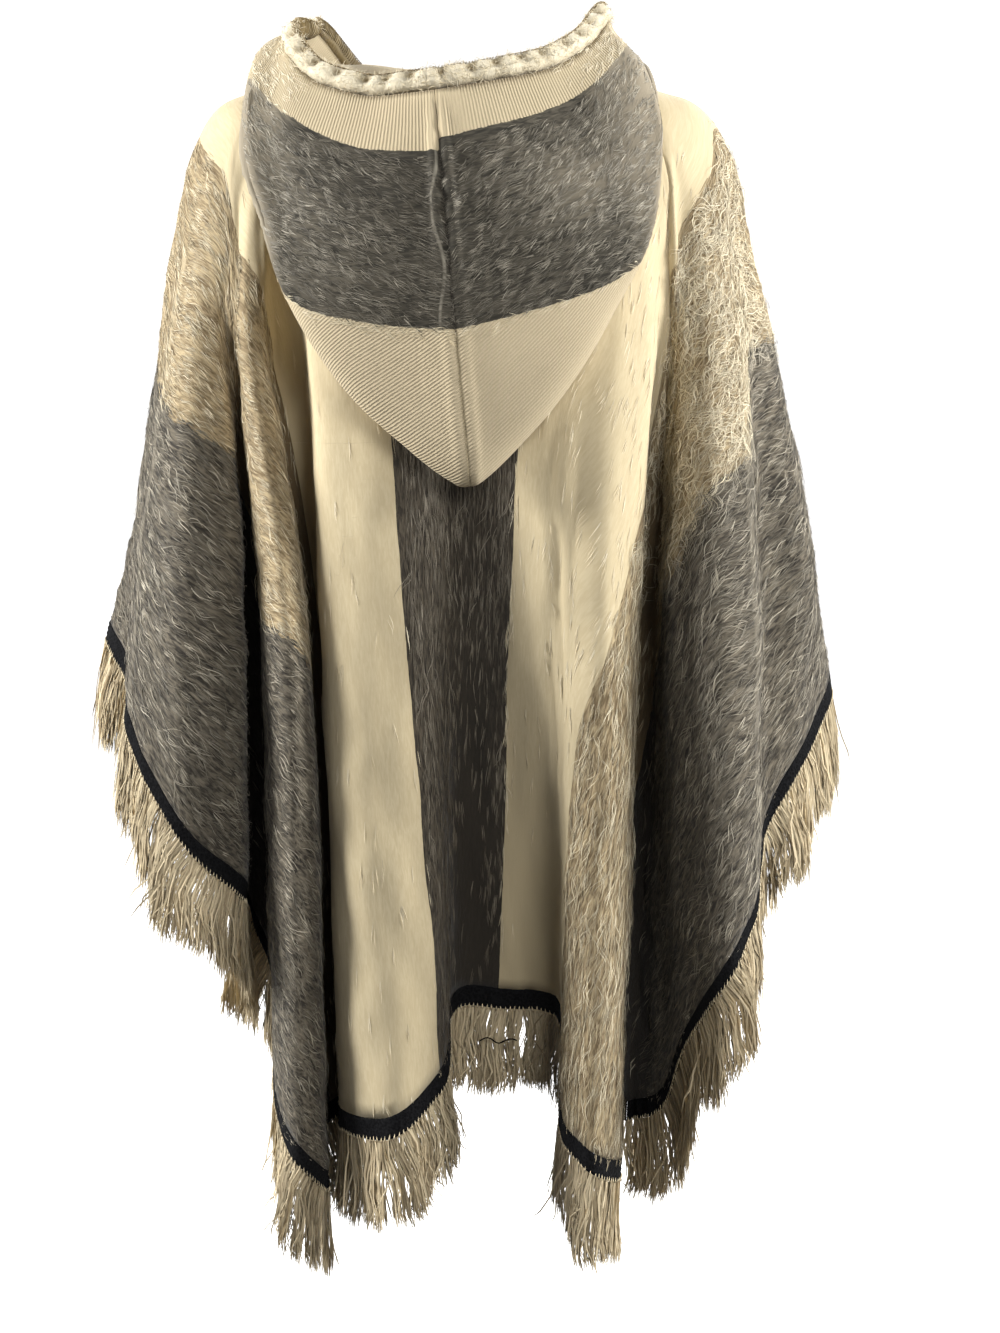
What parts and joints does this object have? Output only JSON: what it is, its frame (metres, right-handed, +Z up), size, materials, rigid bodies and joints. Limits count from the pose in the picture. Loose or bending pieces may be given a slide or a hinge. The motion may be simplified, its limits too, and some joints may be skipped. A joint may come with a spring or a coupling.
{
  "type": "hooded poncho",
  "caption": "Hooded Andean wool poncho worn open over the shoulders, with wide woven stripes, a crochet edging and a strand fringe, hood hanging back.",
  "frame": {"origin": "middle of the neck, level with the top of the back neck seam, where the wearer's shoulders carry the cloth", "axes": "+Z up, +X towards the wearer's right hand side, -Y behind the wearer, where the hood hangs"},
  "size_m": [0.6873, 0.4439, 1.128],
  "materials": {
    "poncho_cloth": "brushed wool with a long nap, woven in wide cream, tan and charcoal stripes",
    "hood_cloth": "cream wool twill with one wide brushed charcoal band",
    "hood_rim_cloth": "soft padded cream casing with dimples and a dark twisted thread",
    "crochet_edging": "matt black crochet",
    "wool_fringe": "loose tan wool strands"
  },
  "bodies": {
    "root": {"body_back_left": "poncho_cloth", "body_back_middle": "poncho_cloth", "body_back_right": "poncho_cloth", "body_front_right": "poncho_cloth", "body_front_middle": "poncho_cloth", "body_front_left": "poncho_cloth", "edging_back": "crochet_edging", "edging_right": "crochet_edging", "edging_front": "crochet_edging", "edging_left": "crochet_edging", "fringe_back": "wool_fringe", "fringe_right": "wool_fringe", "fringe_front": "wool_fringe", "fringe_left": "wool_fringe", "hood_left": "hood_cloth", "hood_right": "hood_cloth", "hood_rim": "hood_rim_cloth"}
  },
  "joints": []
}
